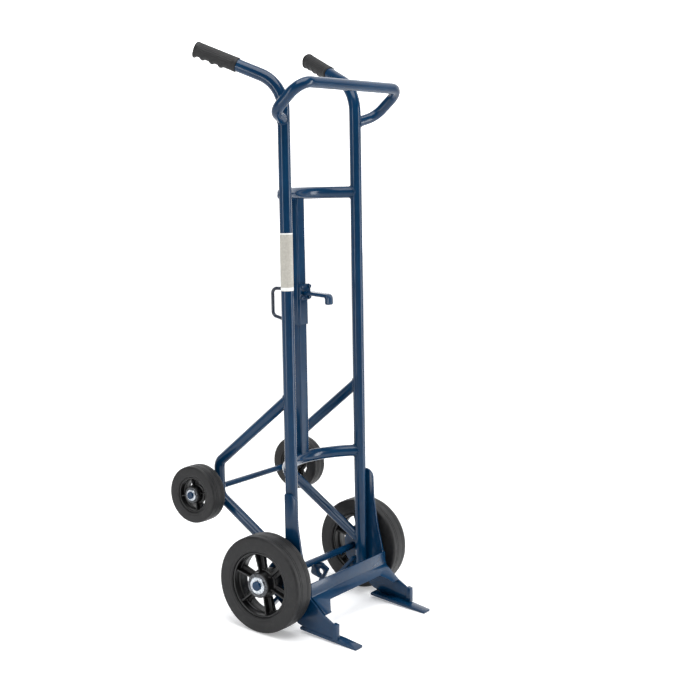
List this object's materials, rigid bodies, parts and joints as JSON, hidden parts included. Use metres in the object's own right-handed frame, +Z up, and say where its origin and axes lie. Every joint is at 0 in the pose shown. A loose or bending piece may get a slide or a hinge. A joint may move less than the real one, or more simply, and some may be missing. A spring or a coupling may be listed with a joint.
{
  "type": "drum hand truck",
  "caption": "Upright tube-frame hand truck for one steel drum, with a sliding rim hook, toe prongs, large front wheels and raised rear wheels.",
  "frame": {"origin": "on the floor, at the middle of the footprint's bounding box", "axes": "+Z up; -Y towards the load; X along the axles, +X on the left of a person holding the grips. The truck stands leaning back about 4.9 degrees"},
  "size_m": [0.5296, 0.5744, 1.4792],
  "materials": {
    "blue_enamel": "glossy navy blue enamel on steel",
    "dark_enamel": "glossy very dark blue enamel on steel rod",
    "cast_hub": "black painted casting, slightly rough",
    "tyre_rubber": "dark grey moulded rubber",
    "grip_rubber": "matt black ribbed rubber",
    "bearing_steel": "oiled steel",
    "zinc_steel": "bright zinc plating",
    "label_vinyl": "blank off-white vinyl sticker"
  },
  "bodies": {
    "frame": {"axle_lug": "blue_enamel", "cross_plate": "blue_enamel", "front_axle": "blue_enamel", "front_axle_caps": "blue_enamel", "front_axle_spacers": "blue_enamel", "front_axle_washers": "zinc_steel", "label": "label_vinyl", "left_grip": "grip_rubber", "left_rear_tube": "blue_enamel", "left_side_plate": "blue_enamel", "left_stand_leg": "blue_enamel", "left_stand_pad": "blue_enamel", "left_toe": "blue_enamel", "left_toe_post": "blue_enamel", "left_upright": "blue_enamel", "lower_crossbar": "blue_enamel", "mast": "blue_enamel", "rear_axle": "blue_enamel", "rear_axle_caps": "blue_enamel", "rear_axle_spacers": "blue_enamel", "rear_axle_washers": "zinc_steel", "right_grip": "grip_rubber", "right_rear_tube": "blue_enamel", "right_side_plate": "blue_enamel", "right_stand_leg": "blue_enamel", "right_stand_pad": "blue_enamel", "right_toe": "blue_enamel", "right_toe_post": "blue_enamel", "right_upright": "blue_enamel", "top_loop": "blue_enamel", "upper_crossbar": "blue_enamel"},
    "hook_carriage": {"bracket_bolts": "blue_enamel", "carriage_sleeve": "blue_enamel", "hook_arm": "blue_enamel", "hook_bracket": "blue_enamel", "pull_handle": "dark_enamel"},
    "front_right_wheel": {"front_right_bearings": "bearing_steel", "front_right_hub": "cast_hub", "front_right_tyre": "tyre_rubber"},
    "front_left_wheel": {"front_left_bearings": "bearing_steel", "front_left_hub": "cast_hub", "front_left_tyre": "tyre_rubber"},
    "rear_right_wheel": {"rear_right_bearings": "bearing_steel", "rear_right_hub": "cast_hub", "rear_right_tyre": "tyre_rubber"},
    "rear_left_wheel": {"rear_left_bearings": "bearing_steel", "rear_left_hub": "cast_hub", "rear_left_tyre": "tyre_rubber"}
  },
  "joints": [
    {"name": "hook_slide", "type": "slide", "parent": "frame", "child": "hook_carriage", "axis": [0, 0.0852, 0.9964], "range_m": [-0.344, 0.22]},
    {"name": "front_right_spin", "type": "hinge", "parent": "frame", "child": "front_right_wheel", "pos_m": [-0.2245, -0.0267, 0.127], "axis": [1, 0, 0], "continuous": true},
    {"name": "front_left_spin", "type": "hinge", "parent": "frame", "child": "front_left_wheel", "pos_m": [0.2245, -0.0267, 0.127], "axis": [1, 0, 0], "continuous": true},
    {"name": "rear_right_spin", "type": "hinge", "parent": "frame", "child": "rear_right_wheel", "pos_m": [-0.224, 0.2112, 0.3139], "axis": [1, 0, 0], "continuous": true},
    {"name": "rear_left_spin", "type": "hinge", "parent": "frame", "child": "rear_left_wheel", "pos_m": [0.224, 0.2112, 0.3139], "axis": [1, 0, 0], "continuous": true}
  ]
}
